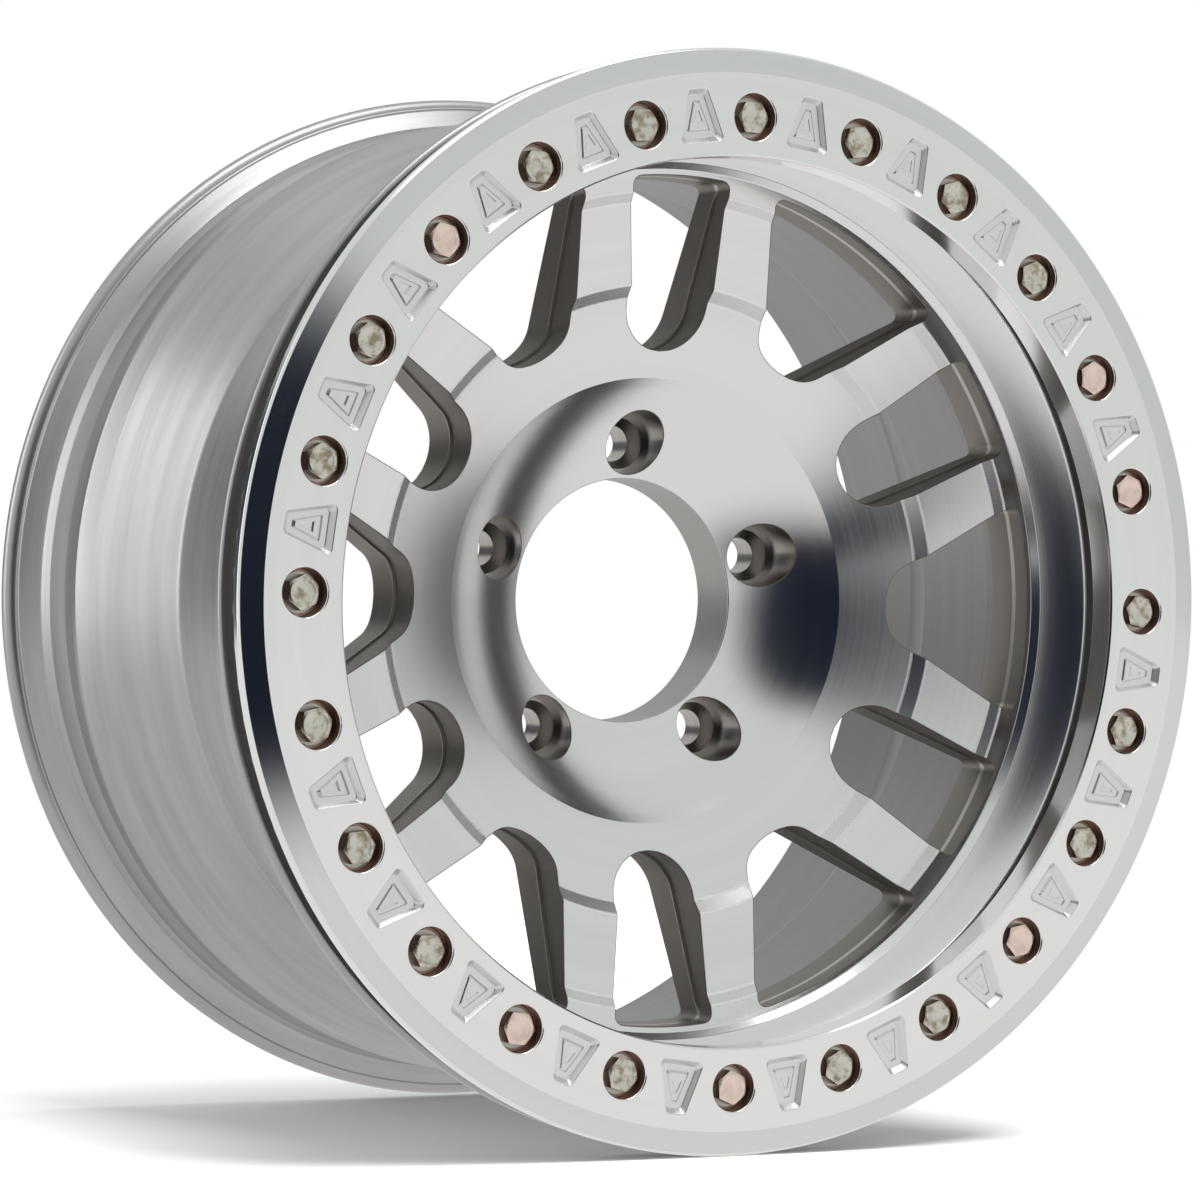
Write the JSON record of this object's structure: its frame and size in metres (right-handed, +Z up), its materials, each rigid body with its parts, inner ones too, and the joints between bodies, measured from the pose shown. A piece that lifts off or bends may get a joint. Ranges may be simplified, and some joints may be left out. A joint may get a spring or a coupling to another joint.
{
  "type": "bead-lock wheel",
  "caption": "Bare aluminium off-road wheel with a bolted bead ring, paired parallel spokes, wide and narrow windows and a dished hub.",
  "frame": {"origin": "centre of the hub mounting face, on the wheel's axis", "axes": "+Y along the wheel's axis towards the vehicle, so the front faces -Y; +Z up through the first lug hole; +X to the right as seen from the front"},
  "size_m": [0.47, 0.2617, 0.47],
  "materials": {
    "wheel_metal": "bare, machined in front and satin on the barrel",
    "ring_metal": "bare, finely machined",
    "bolt_metal": "zinc plated",
    "washer_metal": "zinc plated"
  },
  "bodies": {
    "root": {"wheel": "wheel_metal", "bead_ring": "ring_metal", "ring_bolt_01": "bolt_metal", "ring_bolt_02": "bolt_metal", "ring_bolt_03": "bolt_metal", "ring_bolt_04": "bolt_metal", "ring_bolt_05": "bolt_metal", "ring_bolt_06": "bolt_metal", "ring_bolt_07": "bolt_metal", "ring_bolt_08": "bolt_metal", "ring_bolt_09": "bolt_metal", "ring_bolt_10": "bolt_metal", "ring_bolt_11": "bolt_metal", "ring_bolt_12": "bolt_metal", "ring_bolt_13": "bolt_metal", "ring_bolt_14": "bolt_metal", "ring_bolt_15": "bolt_metal", "ring_bolt_16": "bolt_metal", "ring_bolt_17": "bolt_metal", "ring_bolt_18": "bolt_metal", "ring_bolt_19": "bolt_metal", "ring_bolt_20": "bolt_metal", "ring_bolt_21": "bolt_metal", "ring_bolt_22": "bolt_metal", "ring_bolt_23": "bolt_metal", "ring_bolt_24": "bolt_metal", "bolt_washer_01": "washer_metal", "bolt_washer_02": "washer_metal", "bolt_washer_03": "washer_metal", "bolt_washer_04": "washer_metal", "bolt_washer_05": "washer_metal", "bolt_washer_06": "washer_metal", "bolt_washer_07": "washer_metal", "bolt_washer_08": "washer_metal", "bolt_washer_09": "washer_metal", "bolt_washer_10": "washer_metal", "bolt_washer_11": "washer_metal", "bolt_washer_12": "washer_metal", "bolt_washer_13": "washer_metal", "bolt_washer_14": "washer_metal", "bolt_washer_15": "washer_metal", "bolt_washer_16": "washer_metal", "bolt_washer_17": "washer_metal", "bolt_washer_18": "washer_metal", "bolt_washer_19": "washer_metal", "bolt_washer_20": "washer_metal", "bolt_washer_21": "washer_metal", "bolt_washer_22": "washer_metal", "bolt_washer_23": "washer_metal", "bolt_washer_24": "washer_metal"}
  },
  "joints": []
}
